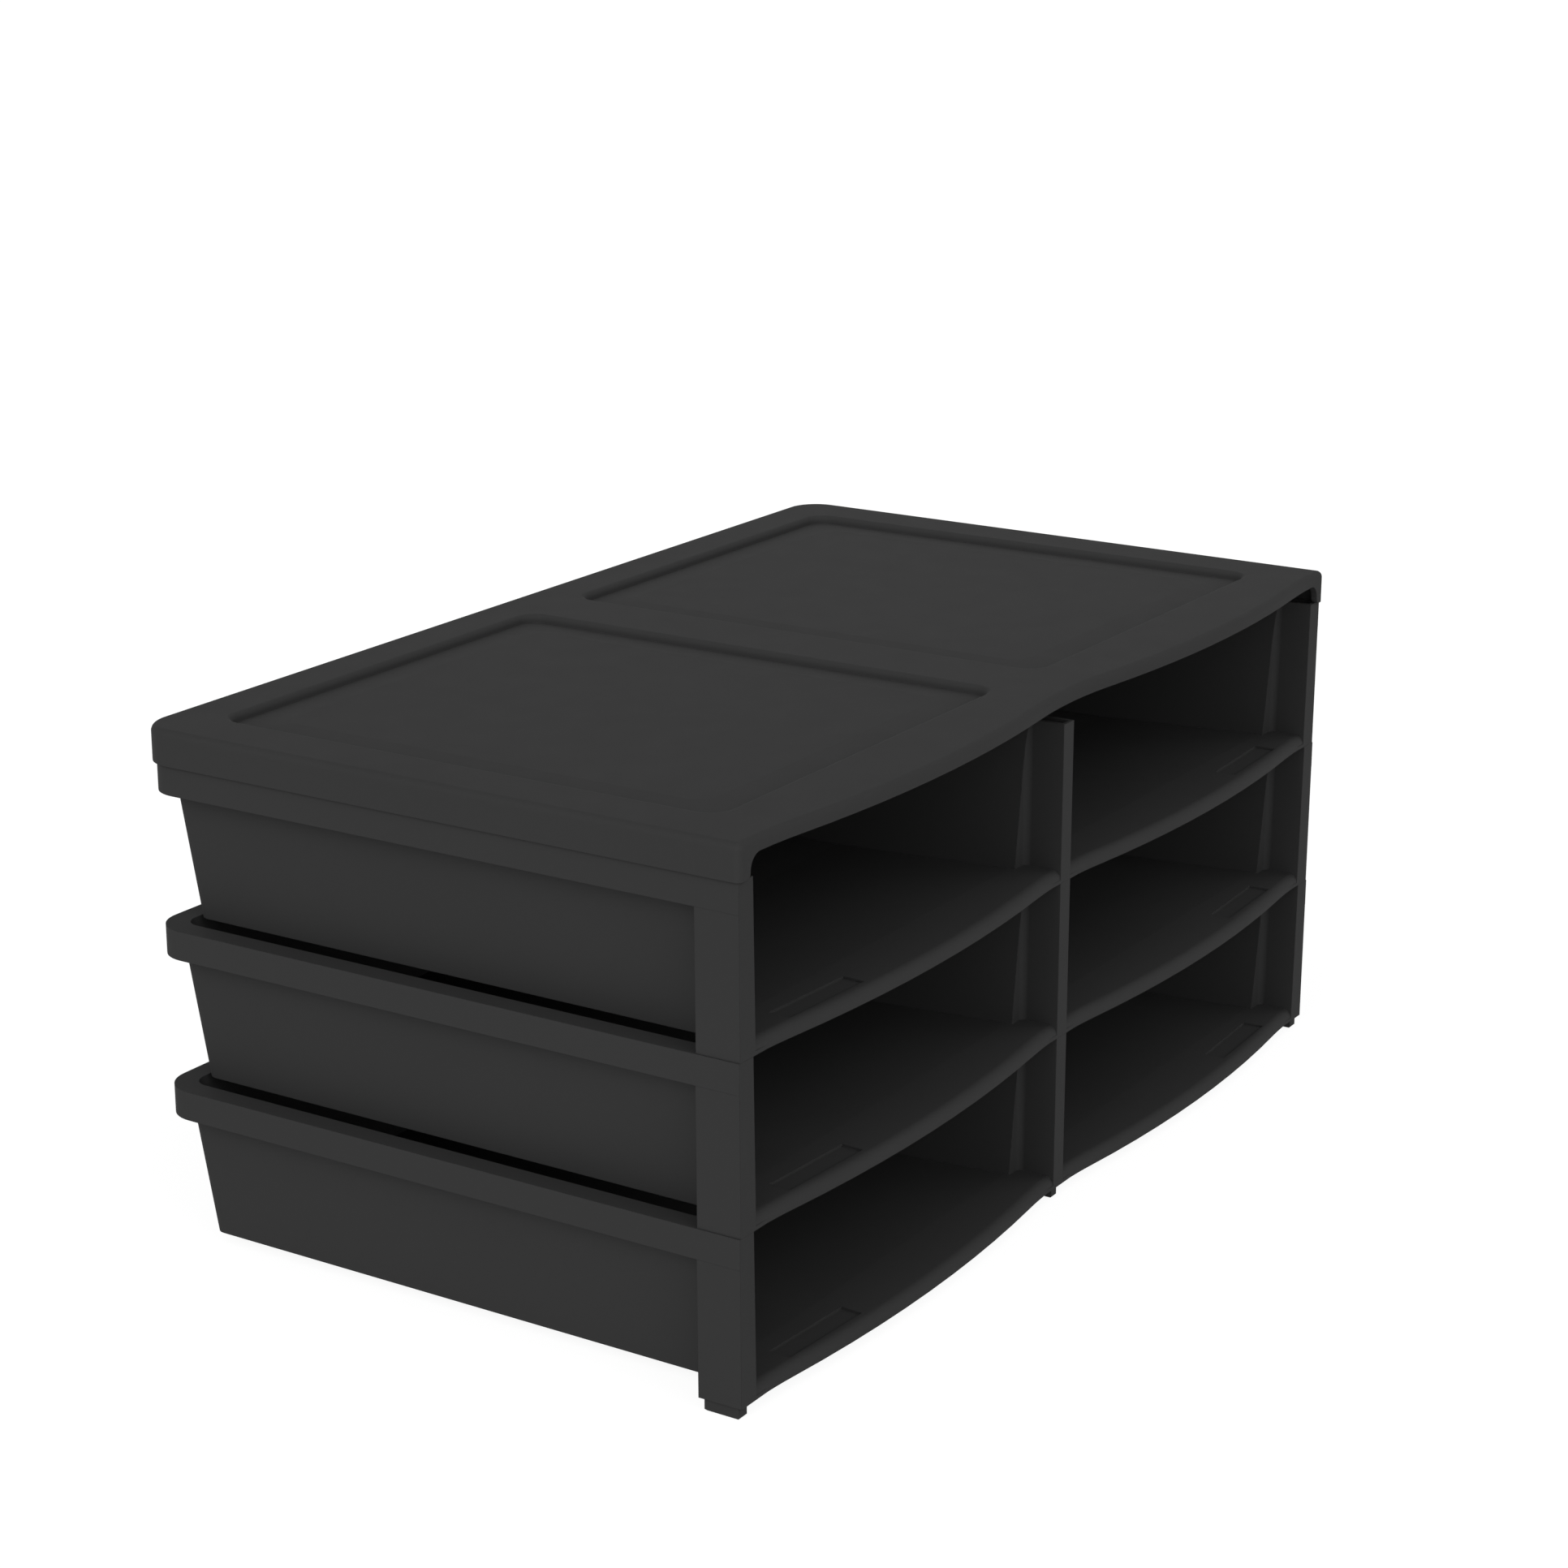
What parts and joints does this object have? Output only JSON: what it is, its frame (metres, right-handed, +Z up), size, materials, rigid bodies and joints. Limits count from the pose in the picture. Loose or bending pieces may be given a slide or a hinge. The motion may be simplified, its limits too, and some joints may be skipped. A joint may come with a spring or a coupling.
{
  "type": "letter tray stack",
  "caption": "Stack of double-wide open-front letter trays that peg onto one another, with a flat cover on top; each tray has two compartments with a hollow divider.",
  "frame": {"origin": "on the surface that the stack stands on, under the middle of its box", "axes": "+X across the two compartments to the right as seen from the open front, +Y from the front to the back wall, +Z up"},
  "size_m": [0.52, 0.3077, 0.2371],
  "materials": {
    "tray_plastic": "fine matte moulded",
    "cover_plastic": "fine matte moulded"
  },
  "bodies": {
    "tray_bottom": {"tray_bottom": "tray_plastic"},
    "tray_middle": {"tray_middle": "tray_plastic"},
    "tray_top": {"tray_top": "tray_plastic"},
    "cover": {"cover": "cover_plastic"}
  },
  "joints": [
    {"name": "middle_tray_lift", "type": "slide", "parent": "tray_bottom", "child": "tray_middle", "axis": [0, 0, 1], "range_m": [0, 0.0931]},
    {"name": "top_tray_lift", "type": "slide", "parent": "tray_middle", "child": "tray_top", "axis": [0, 0, 1], "range_m": [0, 0.0588]},
    {"name": "cover_lift", "type": "slide", "parent": "tray_top", "child": "cover", "axis": [0, 0, 1], "range_m": [0, 0.0591]}
  ]
}
